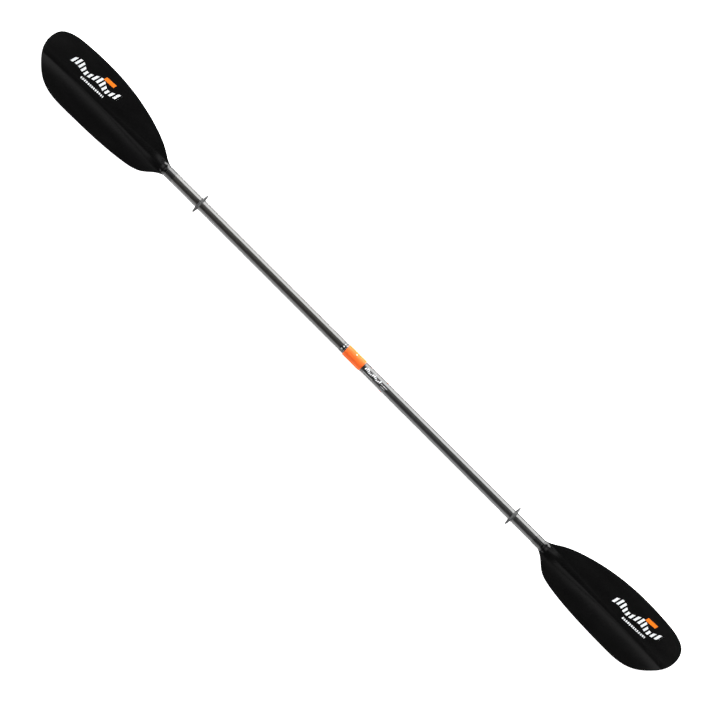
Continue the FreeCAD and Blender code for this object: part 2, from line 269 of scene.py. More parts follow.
class Finish:
    """A material under construction: short calls that add and wire its nodes."""

    def __init__(self, name):
        self.material = bpy.data.materials.new(name)
        self.material.use_nodes = True
        self.nodes = self.material.node_tree.nodes
        self.links = self.material.node_tree.links
        self.shader = self.nodes["Principled BSDF"]
        self.place = self.add("TexCoord").outputs["Object"]

    def add(self, kind, settings=None, **inputs):
        node = self.nodes.new("ShaderNode" + kind)
        for key, value in (settings or {}).items():
            setattr(node, key, value)
        for key, value in inputs.items():
            self.feed(node.inputs[key.replace("_", " ")], value)
        return node

    def feed(self, socket, value):
        if isinstance(value, bpy.types.NodeSocket):
            self.links.new(value, socket)
        else:
            socket.default_value = value

    def math(self, operation, first, second=0.0, third=0.0):
        node = self.add("Math", {"operation": operation})
        for socket, value in zip(node.inputs, (first, second, third)):
            self.feed(socket, value)
        return node.outputs[0]

    def axes(self):
        return self.add("SeparateXYZ", Vector=self.place).outputs

    def wrapped(self):
        """Place along the shaft, and distance round it from +Z towards +Y."""
        x, y, z = self.axes()
        angle = self.math("ARCTAN2", y, z)
        return x, self.math("MULTIPLY", angle, SHAFT_RADIUS)

    def joined(self, x, y, z=0.0):
        node = self.add("CombineXYZ")
        for socket, value in zip(node.inputs, (x, y, z)):
            self.feed(socket, value)
        return node.outputs[0]

    def noise(self, scale, detail=2.0, roughness=0.5, vector=None):
        return self.add("TexNoise", Vector=vector or self.place, Scale=scale, Detail=detail,
                        Roughness=roughness).outputs["Fac"]

    def spread(self, value, low, high, start=0.0, end=1.0):
        """Maps a value from one range to another."""
        node = self.add("MapRange", Value=value)
        node.inputs["From Min"].default_value = start
        node.inputs["From Max"].default_value = end
        self.feed(node.inputs["To Min"], low)
        self.feed(node.inputs["To Max"], high)
        return node.outputs[0]

    def mix(self, share, first, second):
        node = self.add("Mix", {"data_type": "RGBA"})
        self.feed(node.inputs["Factor"], share)
        for socket, value in ((node.inputs[6], first), (node.inputs[7], second)):
            self.feed(socket, value if isinstance(value, bpy.types.NodeSocket) else (*value, 1.0))
        return node.outputs[2]

    def both(self, first, second):
        return self.math("MULTIPLY", first, second)

    def within(self, value, low, high):
        """1 where a value lies between two limits."""
        return self.both(self.math("GREATER_THAN", value, low), self.math("LESS_THAN", value, high))

    def bump(self, height, distance, strength=1.0, under=None):
        node = self.add("Bump", Height=height, Distance=distance, Strength=strength)
        if under is not None:
            self.feed(node.inputs["Normal"], under)
        return node.outputs[0]

    def surface(self, **inputs):
        for key, value in inputs.items():
            self.feed(self.shader.inputs[key.replace("_", " ")], value)
        return self.material


def colours():
    return bpy.context.scene.paddle_colours


def sizes():
    return bpy.context.scene.paddle_sizes


def slanted_bars(finish, along, across, length, pitch, height, base, slant=0.28):
    """A generic mark: a row of slanted bars whose tops rise and fall like a wave."""
    lean = finish.math("SUBTRACT", along, finish.math("MULTIPLY", across, slant))
    step = finish.math("FRACT", finish.math("DIVIDE", lean, pitch))
    bar = finish.math("LESS_THAN", step, 0.58)
    wave = finish.math("SINE", finish.math("MULTIPLY", lean, 2 * math.pi / (0.45 * length)))
    top = finish.math("MULTIPLY_ADD", wave, 0.26 * height, base + 0.72 * height)
    foot = finish.math("MULTIPLY_ADD", wave, 0.12 * height, base + 0.12 * height)
    tall = finish.both(finish.math("LESS_THAN", across, top),
                       finish.math("GREATER_THAN", across, foot))
    return finish.both(finish.both(bar, tall), finish.within(lean, 0.0, length))


def dashes(finish, along, across, start, end, low, high, pitch):
    """A row of short dashes."""
    step = finish.math("FRACT", finish.math("DIVIDE", along, pitch))
    row = finish.both(finish.within(along, start, end), finish.within(across, low, high))
    return finish.both(finish.math("LESS_THAN", step, 0.66), row)


def blade_finish(name, mark_start):
    """Fibre-filled nylon with flow marks and fine grain, and a printed mark on the back face."""
    finish = Finish(name)
    x, y, _ = finish.axes()
    stretched = finish.add("Mapping", Vector=finish.place, Scale=(0.35, 1.0, 1.0)).outputs[0]
    flow = finish.noise(38.0, 5.0, 0.62, stretched)
    grain = finish.noise(2600.0, 2.0, 0.6)
    fibres = finish.noise(900.0, 4.0, 0.7, stretched)
    body = finish.mix(finish.spread(fibres, 0.0, 1.0, 0.35, 0.75), tuple(colours().blade),
                      tuple(2.2 * part for part in colours().blade))
    along = finish.math("SUBTRACT", x, mark_start)
    across = finish.math("MULTIPLY_ADD", along, -0.045, y)
    facing = finish.add("SeparateXYZ", Vector=finish.nodes["Texture Coordinate"].outputs["Normal"])
    back = finish.math("GREATER_THAN", facing.outputs[2], 0.2)
    bars = slanted_bars(finish, along, across, 160 * MM, 12.3 * MM, 26 * MM, 22 * MM)
    line = dashes(finish, along, across, 58 * MM, 137 * MM, 9 * MM, 14.5 * MM, 6.4 * MM)
    lean = finish.math("SUBTRACT", along, finish.math("MULTIPLY", across, 0.28))
    block = finish.both(finish.within(lean, 92 * MM, 126 * MM),
                        finish.within(across, 47 * MM, 57 * MM))
    white = finish.both(back, finish.math("MAXIMUM", bars, line))
    orange = finish.both(back, block)
    inked = finish.mix(white, body, tuple(colours().print_white))
    inked = finish.mix(orange, inked, (0.88, 0.2, 0.01))
    ink = finish.math("MAXIMUM", white, orange)
    height = finish.math("MULTIPLY_ADD", flow, 0.7, finish.both(grain, 0.3))
    bumped = finish.bump(height, 0.12 * MM, 0.35)
    raised = finish.bump(ink, 0.03 * MM, 0.4, bumped)
    rough = finish.spread(flow, 0.21, 0.27, 0.3, 0.7)
    return finish.surface(Base_Color=inked, Roughness=rough, Normal=raised, IOR=1.48)


def carbon_finish(name, tint, marked):
    """Wound carbon under a clear coat, with a printed mark next to the ferrule on one half."""
    finish = Finish(name)
    x, round_way = finish.wrapped()
    tow = 3.2 * MM
    first = finish.math("DIVIDE", finish.math("ADD", x, round_way), tow)
    second = finish.math("DIVIDE", finish.math("SUBTRACT", x, round_way), tow)
    ridges = finish.math("SINE", finish.math("MULTIPLY", first, 2 * math.pi))
    cross = finish.math("SINE", finish.math("MULTIPLY", second, 2 * math.pi))
    weave = finish.math("MULTIPLY_ADD", finish.both(ridges, cross), 0.5, 0.5)
    fibres = finish.noise(1.0, 3.0, 0.6, finish.joined(finish.math("MULTIPLY", x, 90.0),
                                                       finish.math("MULTIPLY", round_way, 1400.0)))
    shade = finish.math("MULTIPLY_ADD", fibres, 0.35, finish.both(weave, 0.12))
    dark = tuple(part * shift for part, shift in zip(colours().carbon, tint))
    base = finish.mix(shade, tuple(0.75 * part for part in dark), tuple(1.45 * part for part in dark))
    if marked:
        along = finish.math("SUBTRACT", x, 39 * MM)
        bars = slanted_bars(finish, along, round_way, 56 * MM, 5.1 * MM, 10.5 * MM, -3.5 * MM)
        notes = dashes(finish, along, round_way, 58 * MM, 79 * MM, 0.2 * MM, 1.7 * MM, 1.9 * MM)
        more = dashes(finish, along, round_way, 61 * MM, 75 * MM, -5.2 * MM, -3.7 * MM, 1.9 * MM)
        faint = dashes(finish, along, round_way, 2 * MM, 34 * MM, -9.8 * MM, -8.6 * MM, 2.3 * MM)
        ink = finish.math("MAXIMUM", bars, finish.math("MAXIMUM", notes, more))
        ink = finish.math("MAXIMUM", ink, finish.both(faint, 0.5))
        base = finish.mix(ink, base, tuple(colours().print_white))
    bumped = finish.bump(shade, 0.05 * MM, 0.12)
    rough = finish.spread(fibres, 0.2, 0.34, 0.3, 0.7)
    return finish.surface(Base_Color=base, Roughness=rough, Normal=bumped, Coat_Weight=1.0,
                          Coat_Roughness=0.05, Specular_IOR_Level=0.25)


def moulded_finish(name, colour, low=0.3, high=0.42, shine=0.5, grain=1400.0, depth=0.02):
    """Moulded plastic with fine grain and slow changes of gloss and tone."""
    finish = Finish(name)
    slow = finish.noise(55.0, 3.0)
    fine = finish.noise(grain, 2.0, 0.6)
    tone = finish.mix(slow, tuple(0.88 * part for part in colour),
                      tuple(min(1.0, 1.1 * part) for part in colour))
    bumped = finish.bump(fine, depth * MM, 0.5)
    rough = finish.spread(slow, low, high, 0.3, 0.7)
    return finish.surface(Base_Color=tone, Roughness=rough, Normal=bumped,
                          Specular_IOR_Level=shine)


def rubber_finish(name, colour):
    """Matt rubber with a dusty bloom."""
    finish = Finish(name)
    bloom = finish.noise(120.0, 4.0, 0.6)
    pores = finish.noise(3200.0, 2.0)
    tone = finish.mix(finish.spread(bloom, 0.0, 1.0, 0.35, 0.7), colour,
                      tuple(1.5 * part for part in colour))
    bumped = finish.bump(pores, 0.03 * MM, 0.5)
    rough = finish.spread(bloom, 0.5, 0.68, 0.3, 0.7)
    return finish.surface(Base_Color=tone, Roughness=rough, Normal=bumped)


def sleeve_finish(name, colour):
    """Shrunk film: satin black with faint lines round it."""
    finish = Finish(name)
    x, round_way = finish.wrapped()
    lines = finish.noise(1.0, 3.0, 0.6, finish.joined(finish.math("MULTIPLY", x, 900.0),
                                                      finish.math("MULTIPLY", round_way, 60.0)))
    tone = finish.mix(lines, tuple(0.8 * part for part in colour),
                      tuple(1.3 * part for part in colour))
    bumped = finish.bump(lines, 0.02 * MM, 0.3)
    rough = finish.spread(lines, 0.1, 0.18, 0.3, 0.7)
    return finish.surface(Base_Color=tone, Roughness=rough, Normal=bumped, IOR=1.55)


def steel_finish(name):
    """Drawn steel with fine lines along it."""
    finish = Finish(name)
    drawn = finish.add("Mapping", Vector=finish.place, Scale=(0.1, 1.0, 1.0)).outputs[0]
    lines = finish.noise(2500.0, 3.0, 0.6, drawn)
    tone = finish.mix(lines, (0.42, 0.42, 0.43), (0.6, 0.6, 0.61))
    bumped = finish.bump(lines, 0.01 * MM, 0.4)
    rough = finish.spread(lines, 0.22, 0.36, 0.3, 0.7)
    return finish.surface(Base_Color=tone, Metallic=1.0, Roughness=rough, Normal=bumped)


def foam_finish(name):
    """Closed-cell foam."""
    finish = Finish(name)
    cells = finish.add("TexVoronoi", Vector=finish.place, Scale=700.0).outputs["Distance"]
    tone = finish.mix(finish.spread(cells, 0.0, 1.0, 0.1, 0.6), (0.05, 0.05, 0.055),
                      (0.13, 0.13, 0.14))
    bumped = finish.bump(cells, 0.4 * MM, 0.6)
    return finish.surface(Base_Color=tone, Roughness=0.9, Normal=bumped)


def ink_finish(name):
    """White print with slightly worn spots."""
    finish = Finish(name)
    worn = finish.noise(900.0, 4.0, 0.7)
    white = tuple(colours().print_white)
    tone = finish.mix(finish.spread(worn, 0.0, 1.0, 0.55, 0.8), white,
                      tuple(0.7 * part for part in white))
    rough = finish.spread(worn, 0.35, 0.55, 0.3, 0.7)
    return finish.surface(Base_Color=tone, Roughness=rough)


# Blade

class BladeShape:
    """The blade's plan and its two faces, in metres from the end of the shaft."""

    def __init__(self):
        values = sizes()
        self.values = values
        self.rim = values.edge_thickness / 2
        self.crease_sweep = (2.0 * MM, 9.0 * MM)
        points = [self.outline_point(share, UPPER_REACH, 1) for share in UPPER_OUTLINE]
        points.append((TIP[0] * BLADE_LENGTH, TIP[1] * UPPER_REACH))
        points += [self.outline_point(share, LOWER_REACH, -1) for share in LOWER_OUTLINE]
        self.outline = smooth_curve(points)
        shares = np.linspace(0.0, 1.0, 2001)
        plan = self.outline(shares)
        along = np.gradient(plan, axis=0)
        outward = np.stack([-along[:, 1], along[:, 0]], axis=1)
        outward /= np.linalg.norm(outward, axis=1)[:, None]
        outward[0] = (0, 1)
        outward[-1] = (0, -1)
        self.shares = shares
        self.inner = plan - self.rim * outward
        self.corners = (self.share_at(0.968, 1), self.share_at(0.962, -1))
        gap = self.inner[:, 1] + self.crease_offset(self.inner[:, 0] / BLADE_LENGTH)
        inside = (self.inner[:, 0] > 0.9 * BLADE_LENGTH)
        self.crease_end = shares[inside][np.argmin(np.abs(gap[inside]))]
        self.spine = np.array(((0.0, 1.0, 0.8, -1.2),) + SPINE)

    def outline_point(self, share, reach, side):
        along, across = share
        if across == 0.0:
            return 0.0, side * SHAFT_RADIUS
        return along * BLADE_LENGTH, side * across * reach

    def share_at(self, along, side):
        """Where the inner outline passes a share of the length, on one side of the tip."""
        tip = np.argmax(self.inner[:, 0])
        part = slice(0, tip) if side > 0 else slice(tip, None)
        distance = np.abs(self.inner[part, 0] - along * BLADE_LENGTH)
        return self.shares[part][np.argmin(distance)]

    def inner_at(self, share):
        return np.array([np.interp(share, self.shares, self.inner[:, axis]) for axis in (0, 1)])

    def crease_offset(self, along):
        root, sweep = self.crease_sweep
        return root + sweep * along ** 6

    def crease_at(self, share):
        end = self.inner_at(self.crease_end)[0] / BLADE_LENGTH
        along = end * share
        return np.array([along * BLADE_LENGTH, -self.crease_offset(along)])

    def plan_point(self, along, across, side):
        """A point of the plan: along 0 to 1 from root to tip, across 0 to 1 from crease to edge."""
        corner = self.corners[0] if side > 0 else self.corners[1]
        edge_share = self.edge_share(along, side, corner)
        tip_share = self.crease_end + (corner - self.crease_end) * across
        crease = self.crease_at(along)
        edge = self.inner_at(edge_share)
        root = self.crease_at(0.0) * (1 - across) + self.inner_at(0.0 if side > 0 else 1.0) * across
        tip = self.inner_at(tip_share)
        root_crease = self.crease_at(0.0)
        root_edge = self.inner_at(0.0 if side > 0 else 1.0)
        tip_crease = self.inner_at(self.crease_end)
        tip_edge = self.inner_at(corner)
        straight = ((1 - along) * ((1 - across) * root_crease + across * root_edge)
                    + along * ((1 - across) * tip_crease + across * tip_edge))
        return (1 - across) * crease + across * edge + (1 - along) * root + along * tip - straight

    def edge_share(self, along, side, corner):
        tip = np.argmax(self.inner[:, 0])
        part = slice(0, tip + 1) if side > 0 else slice(None, tip - 1, -1)
        reach = self.inner_at(corner)[0] * along
        return np.interp(reach, self.inner[part, 0], self.shares[part])

    def half_width(self, x, side):
        tip = np.argmax(self.inner[:, 0])
        part = slice(0, tip + 1) if side > 0 else slice(None, tip - 1, -1)
        return abs(np.interp(x, self.inner[part, 0], self.inner[part, 1])) + self.rim

    def flank(self, distance, side):
        """Rise of a face from the crease: an arc that ends level."""
        values = self.values
        width = values.lower_flank_width if side < 0 else values.upper_flank_width
        angle = values.lower_flank_angle if side < 0 else values.upper_flank_angle
        radius = width / math.sin(angle)
        rest = max(0.0, width - distance)
        return math.sqrt(radius ** 2 - rest ** 2) - radius * math.cos(angle)

    def faces(self, x, y):
        """Heights of the back face and of the power face at a plan point."""
        values = self.values
        share = x / BLADE_LENGTH
        level = values.crease_level - values.tip_drop * share ** 2
        side = 1 if y > -self.crease_offset(share) else -1
        beyond = abs(y + self.crease_offset(share))
        rounding = values.crease_rounding
        distance = math.sqrt(beyond ** 2 + rounding ** 2) - rounding
        width = values.lower_flank_width if side < 0 else values.upper_flank_width
        top = level + self.flank(distance, side)
        thickness = values.crease_thickness - (values.crease_thickness - values.edge_thickness) * float(
            ease(distance / width))
        bottom = top - thickness
        spine_share = x / SPINE_LENGTH
        reach, high, low = (np.interp(spine_share, self.spine[:, 0], self.spine[:, column]) * SHAFT_RADIUS
                            for column in (1, 2, 3))
        fade = 1 - float(ease((spine_share - 0.8) / 0.25))
        across = y / reach
        dome = math.sqrt(max(0.0, 1 - across ** 2)) - 4 * max(0.0, abs(across) - 1)
        middle = level + (high + low) / 2
        half = (high - low) / 2
        soft = 3.0 * MM * float(ease(x / (30 * MM))) + 0.3 * MM
        top = self.blend(top, middle + half * dome, soft)
        bottom = -self.blend(-bottom, -(middle - half * dome) - (1 - fade) * 6 * MM, soft)
        neck = self.half_width(x, 1 if y > 0 else -1)
        round_off = math.sqrt(max(0.0, 1 - (y / neck) ** 2)) * SHAFT_RADIUS
        grown = float(ease(x / (14 * MM)))
        return top * grown + round_off * (1 - grown), bottom * grown - round_off * (1 - grown)

    @staticmethod
    def blend(first, second, soft):
        """The higher of two heights, with a fillet where they cross."""
        return (first + second + math.sqrt((first - second) ** 2 + soft ** 2)) / 2 - soft / 12


def blade_mesh():
    """The right blade: two faces on one plan, a rounded rim and the tenon."""
    plan = BladeShape()
    shape = bmesh.new()
    rows, columns = 38, 150
    for side in (1, -1):
        made = bmesh.ops.create_grid(shape, x_segments=columns, y_segments=rows, size=0.5)
        for vert in made["verts"]:
            along = vert.co.x + 0.5
            along = along * (0.55 + 0.45 * along)
            across = (vert.co.y + 0.5) ** 1.35
            x, y = plan.plan_point(along, across, side)
            vert.co = (x, y, 0.0)
    bmesh.ops.remove_doubles(shape, verts=shape.verts, dist=1e-6)
    back = list(shape.verts)
    rim = [edge for edge in shape.edges
           if edge.is_boundary and max(vert.co.x for vert in edge.verts) > 1e-5]
    copied = bmesh.ops.duplicate(shape, geom=shape.verts[:] + shape.edges[:] + shape.faces[:])
    twins = copied["vert_map"]
    heights = {vert: plan.faces(vert.co.x, vert.co.y) for vert in back}
    outward = rim_directions(rim)
    for vert in back:
        twins[vert].co.z = heights[vert][1]
        vert.co.z = heights[vert][0]
    lower_rim = [twin_edge(edge, twins) for edge in rim]
    middle = {vert: sum(heights[vert]) / 2 for vert in outward}
    steps = 5
    round_rim(shape, rim, outward, middle, plan.rim, steps)
    lower_outward = {twins[vert]: way for vert, way in outward.items()}
    lower_middle = {twins[vert]: level for vert, level in middle.items()}
    round_rim(shape, lower_rim, lower_outward, lower_middle, plan.rim, steps)
    bmesh.ops.remove_doubles(shape, verts=shape.verts, dist=2e-6)
    add_tenon(shape)
    bmesh.ops.recalc_face_normals(shape, faces=shape.faces)
    bmesh.ops.translate(shape, vec=(BLADE_ROOT, 0, 0), verts=shape.verts)
    return shape


def twin_edge(edge, twins):
    first, second = (twins[vert] for vert in edge.verts)
    return next(other for other in first.link_edges if second in other.verts)


def rim_directions(edges):
    """The outward way in plan at each vertex of the rim."""
    ways = {}
    for edge in edges:
        first, second = edge.verts
        run = (second.co - first.co).to_2d()
        way = Vector((run.y, -run.x, 0)).normalized()
        face = edge.link_faces[0].calc_center_median() - first.co
        if way.dot(face) > 0:
            way.negate()
        for vert in edge.verts:
            ways[vert] = ways.get(vert, Vector()) + way
    for vert, way in ways.items():
        if vert.co.x < 1e-5:
            way.x = 0.0
    return {vert: way.normalized() for vert, way in ways.items()}


def round_rim(shape, edges, outward, middle, radius, steps):
    """Draws the rim out in steps that follow a quarter round to its middle height."""
    start = {vert: vert.co.copy() for vert in outward}
    current = {vert: vert for vert in outward}
    loop = edges
    for step in range(1, steps + 1):
        turn = step / steps * math.pi / 2
        grown = bmesh.ops.extrude_edge_only(shape, edges=loop)["geom"]
        loop = [item for item in grown if isinstance(item, bmesh.types.BMEdge)
                and item.is_boundary and all(vert in grown for vert in item.verts)
                and not any(vert in current.values() for vert in item.verts)]
        fresh = {}
        for origin, last in current.items():
            fresh[origin] = next(edge.other_vert(last) for edge in last.link_edges
                                 if edge.other_vert(last) in grown)
        for origin, vert in fresh.items():
            base = start[origin]
            drop = (base.z - middle[origin]) * math.cos(turn)
            vert.co = base + outward[origin] * radius * math.sin(turn)
            vert.co.z = middle[origin] + drop
        current = fresh


def add_tenon(shape):
    """Steps the root down to the tube's bore and runs it into the shaft."""
    ring = [edge for edge in shape.edges
            if edge.is_boundary and max(abs(vert.co.x) for vert in edge.verts) < 1e-5]
    for factor, push in ((TUBE_BORE / SHAFT_RADIUS, 0.0), (1.0, -50 * MM)):
        grown = bmesh.ops.extrude_edge_only(shape, edges=ring)["geom"]
        verts = [item for item in grown if isinstance(item, bmesh.types.BMVert)]
        bmesh.ops.scale(shape, vec=(1, factor, factor), verts=verts)
        bmesh.ops.translate(shape, vec=(push, 0, 0), verts=verts)
        ring = [item for item in grown if isinstance(item, bmesh.types.BMEdge) and item.is_boundary]
    bmesh.ops.edgeloop_fill(shape, edges=ring)


class PADDLE_OT_blades(bpy.types.Operator):
    """Build both blades with their tenons"""
    bl_idname = "paddle.blades"
    bl_label = "Blades"

    def execute(self, context):
        shape = blade_mesh()
        other = shape.copy()
        mirror_in_x(other)
        tip = BLADE_ROOT + BLADE_LENGTH
        right = blade_finish("blade_nylon_right", BLADE_ROOT + 225 * MM)
        left = blade_finish("blade_nylon_left", 75 * MM - tip)
        make_piece("right_blade_moulding", shape, "right_half", [right],
                   ["right_blade"])
        make_piece("left_blade_moulding", other, "left_half", [left],
                   ["left_blade"])
        return {"FINISHED"}


# Shaft

def cut_with_bar(piece, radius, place):
    """Cuts a round hole across a tube, for the buttons."""
    shape = bmesh.new()
    turn = Matrix.Rotation(math.pi / 2, 4, "X")
    bmesh.ops.create_cone(shape, cap_ends=True, segments=64, radius1=radius, radius2=radius,
                          depth=4 * SHAFT_RADIUS, matrix=Matrix.Translation((place, 0, 0)) @ turn)
    mesh = bpy.data.meshes.new("bar")
    shape.to_mesh(mesh)
    shape.free()
    bar = bpy.data.objects.new("bar", mesh)
    bpy.context.scene.collection.objects.link(bar)
    cut = piece.modifiers.new("Holes", "BOOLEAN")
    cut.operation = "DIFFERENCE"
    cut.solver = "EXACT"
    cut.object = bar
    bpy.context.view_layer.update()
    graph = bpy.context.evaluated_depsgraph_get()
    result = bpy.data.meshes.new_from_object(piece.evaluated_get(graph))
    piece.modifiers.remove(cut)
    before = piece.data
    piece.data = result
    bpy.data.meshes.remove(before)
    bpy.data.objects.remove(bar)
    result.name = piece.name


def tube_mesh(start, end, breaks=()):
    shape = bmesh.new()
    places = [start, *breaks, end]
    profile = [(place, SHAFT_RADIUS) for place in places]
    profile += [(place, TUBE_BORE) for place in reversed(places)]
    turn_profile(shape, profile, sizes().round_steps)
    soften(shape, 0.2 * MM)
    return shape


class PADDLE_OT_shaft(bpy.types.Operator):
    """Build both carbon tubes"""
    bl_idname = "paddle.shaft"
    bl_label = "Shaft tubes"

    def execute(self, context):
        low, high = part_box("left_shaft_tube")
        left = make_piece("left_tube", tube_mesh(low.x, high.x), "left_half",
                          [carbon_finish("carbon_left", (1.04, 1.0, 0.93), False)],
                          ["left_shaft_tube"])
        even_normals(left)
        low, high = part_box("right_shaft_tube")
        hole = 3.33 * MM
        breaks = (BUTTON_PLACE - 3 * hole, BUTTON_PLACE + 3 * hole)
        right = make_piece("right_tube", tube_mesh(low.x, high.x, breaks), "right_half",
                           [carbon_finish("carbon_right", (0.98, 1.0, 1.02), True)],
                           ["right_shaft_tube"])
        cut_with_bar(right, hole, BUTTON_PLACE)
        even_normals(right)
        return {"FINISHED"}


class PADDLE_OT_bands(bpy.types.Operator):
    """Build the shrunk sleeves beside the blades and the band that carries the scale"""
    bl_idname = "paddle.bands"
    bl_label = "Sleeves and scale band"

    def execute(self, context):
        finish = sleeve_finish("shrunk_sleeve", (0.012, 0.012, 0.012))
        band_finish = sleeve_finish("scale_band", (0.01, 0.01, 0.011))
        rows = (("left_blade_sleeve", "left_half", "sleeve_black", finish),
                ("right_blade_sleeve", "right_half", "sleeve_black", finish),
                ("feather_scale_band", "left_half", "scale_black", band_finish))
        for node, body, slot, material in rows:
            low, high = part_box(node)
            outer = high.z
            shape = bmesh.new()
            turn_profile(shape, ((low.x, SHAFT_RADIUS), (low.x, outer), (high.x, outer),
                                 (high.x, SHAFT_RADIUS)), sizes().round_steps)
            soften(shape, 0.3 * (outer - SHAFT_RADIUS))
            even_normals(make_piece(node + "_film", shape, body, [material], [node]))
        return {"FINISHED"}


# Feather scale

def wrap(shape, place, angle, radius):
    """Lays a flat drawing on the shaft, its centre at a place and an angle from +Z towards +Y."""
    for vert in shape.verts:
        turn = angle + vert.co.y / radius
        reach = radius + vert.co.z
        vert.co = (place + vert.co.x, reach * math.sin(turn), reach * math.cos(turn))


def slice_up(shape, pitch):
    """Cuts a flat drawing into strips, so that it can follow a curve."""
    low = min(vert.co.y for vert in shape.verts)
    high = max(vert.co.y for vert in shape.verts)
    for number in range(1, int((high - low) / pitch) + 1):
        geometry = shape.verts[:] + shape.edges[:] + shape.faces[:]
        bmesh.ops.bisect_plane(shape, geom=geometry, dist=1e-7, plane_co=(0, low + number * pitch, 0),
                               plane_no=(0, 1, 0))


def text_mesh(body, size, thickness):
    """Flat numerals, centred on the origin."""
    curve = bpy.data.curves.new("numeral", "FONT")
    curve.body = body
    curve.size = size
    curve.extrude = thickness / 2
    curve.align_x = "CENTER"
    curve.align_y = "CENTER"
    writing = bpy.data.objects.new("numeral", curve)
    bpy.context.scene.collection.objects.link(writing)
    bpy.context.view_layer.update()
    graph = bpy.context.evaluated_depsgraph_get()
    mesh = bpy.data.meshes.new_from_object(writing.evaluated_get(graph))
    shape = bmesh.new()
    shape.from_mesh(mesh)
    bpy.data.objects.remove(writing)
    bpy.data.curves.remove(curve)
    bpy.data.meshes.remove(mesh)
    bmesh.ops.remove_doubles(shape, verts=shape.verts, dist=1e-6)
    return shape


class PADDLE_OT_scale(bpy.types.Operator):
    """Print the feather angles and their ticks on the band"""
    bl_idname = "paddle.scale"
    bl_label = "Feather scale"

    def execute(self, context):
        low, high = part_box("feather_scale_band")
        radius = high.z
        thickness = 0.04 * MM
        zero = math.radians(37.0)
        drawing = bpy.data.meshes.new("drawing")
        whole = bmesh.new()
        for turn in range(-60, 61, 30):
            shape = text_mesh(str(abs(turn)), 5.6 * MM, thickness)
            slice_up(shape, 0.5 * MM)
            wrap(shape, low.x + 5.8 * MM, zero - math.radians(turn), radius + thickness / 2)
            shape.to_mesh(drawing)
            shape.free()
            whole.from_mesh(drawing)
        for turn in range(-60, 61, 15):
            long = turn % 30 == 0
            length = 2.2 * MM if long else 1.5 * MM
            shape = bmesh.new()
            bmesh.ops.create_cube(shape, size=1.0)
            bmesh.ops.scale(shape, vec=(length, 0.6 * MM, thickness), verts=shape.verts)
            edge = high.x - 0.8 * MM - length / 2
            wrap(shape, edge, zero - math.radians(turn), radius + thickness / 2)
            shape.to_mesh(drawing)
            shape.free()
            whole.from_mesh(drawing)
        bpy.data.meshes.remove(drawing)
        bmesh.ops.recalc_face_normals(whole, faces=whole.faces)
        piece = make_piece("feather_scale_print", whole, "left_half",
                           [ink_finish("scale_ink")])
        even_normals(piece)
        return {"FINISHED"}


# Ferrule

class PADDLE_OT_collar(bpy.types.Operator):
    """Build the turning collar with its grip grooves, and the index dot"""
    bl_idname = "paddle.collar"
    bl_label = "Collar"

    def execute(self, context):
        low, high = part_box("ferrule_collar")
        radius = high.z
        bore = SHAFT_RADIUS + 0.08 * MM
        hub_face = -6.5 * MM
        hub_end = 26.0 * MM
        groove_ends = (low.x + 3.5 * MM, low.x + 41.5 * MM)
        sectors = 9
        steps = 16 * sectors
        shape = bmesh.new()
        profile = ((low.x, bore), (hub_face, bore), (hub_face, 13.2 * MM), (hub_end, 13.2 * MM),
                   (hub_end, 9.9 * MM), (high.x, 9.9 * MM), (high.x, radius),
                   (groove_ends[1], radius), (groove_ends[0], radius), (low.x, radius))
        turn_profile(shape, profile, steps, start=math.pi / steps)
        grooved = []
        for face in shape.faces:
            centre = face.calc_center_median()
            outer = math.hypot(centre.y, centre.z) > radius - 0.2 * MM
            turn = math.degrees(math.atan2(centre.y, centre.z)) % 22.5
            in_groove = min(turn, 22.5 - turn) < 1.5 * 22.5 / sectors
            if outer and in_groove and groove_ends[0] < centre.x < groove_ends[1]:
                grooved.append(face)
        bmesh.ops.inset_region(shape, faces=grooved, thickness=0.35 * MM, depth=0.0,
                               use_even_offset=True)
        bmesh.ops.inset_region(shape, faces=grooved, thickness=0.12 * MM, depth=-0.34 * MM,
                               use_even_offset=True)
        rims = [edge for edge in shape.edges
                if all(abs(math.hypot(vert.co.y, vert.co.z) - radius) < 1e-6 for vert in edge.verts)
                and (all(abs(vert.co.x - low.x) < 1e-6 for vert in edge.verts)
                     or all(abs(vert.co.x - high.x) < 1e-6 for vert in edge.verts))]
        bmesh.ops.bevel(shape, geom=rims, offset=1.2 * MM, offset_type="OFFSET", segments=6,
                        profile=0.5, affect="EDGES", material=-1, clamp_overlap=True)
        finish = moulded_finish("collar_plastic", tuple(colours().collar), 0.42, 0.52, 0.14)
        piece = make_piece("turning_collar", shape, "feather_group", [finish],
                           ["ferrule_collar"])
        even_normals(piece)
        self.index_dot()
        return {"FINISHED"}

    def index_dot(self):
        """A pin set square into the collar where its highlight falls; its pale colour is partly a painted
        highlight.
        """
        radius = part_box("collar_pin")[1].x
        lean = math.radians(37.0)
        foot = 9.7 * MM
        top = 16.55 * MM
        shape = bmesh.new()
        bmesh.ops.create_cone(shape, cap_ends=True, segments=48, radius1=radius, radius2=radius,
                              depth=top - foot)
        soften(shape, 0.3 * MM, 3)
        place = Matrix.Rotation(-lean, 4, "X") @ Matrix.Translation((0, 0, (top + foot) / 2))
        bmesh.ops.transform(shape, matrix=place, verts=shape.verts)
        # Pale colour: the pin's own light tone plus a painted highlight, set at the collar's highlight
        # angle.
        finish = moulded_finish("pin_plastic_painted_highlight", (0.66, 0.55, 0.47), 0.4, 0.5, 0.14)
        piece = make_piece("index_dot", shape, "feather_group", [finish],
                           ["collar_pin"])
        even_normals(piece)


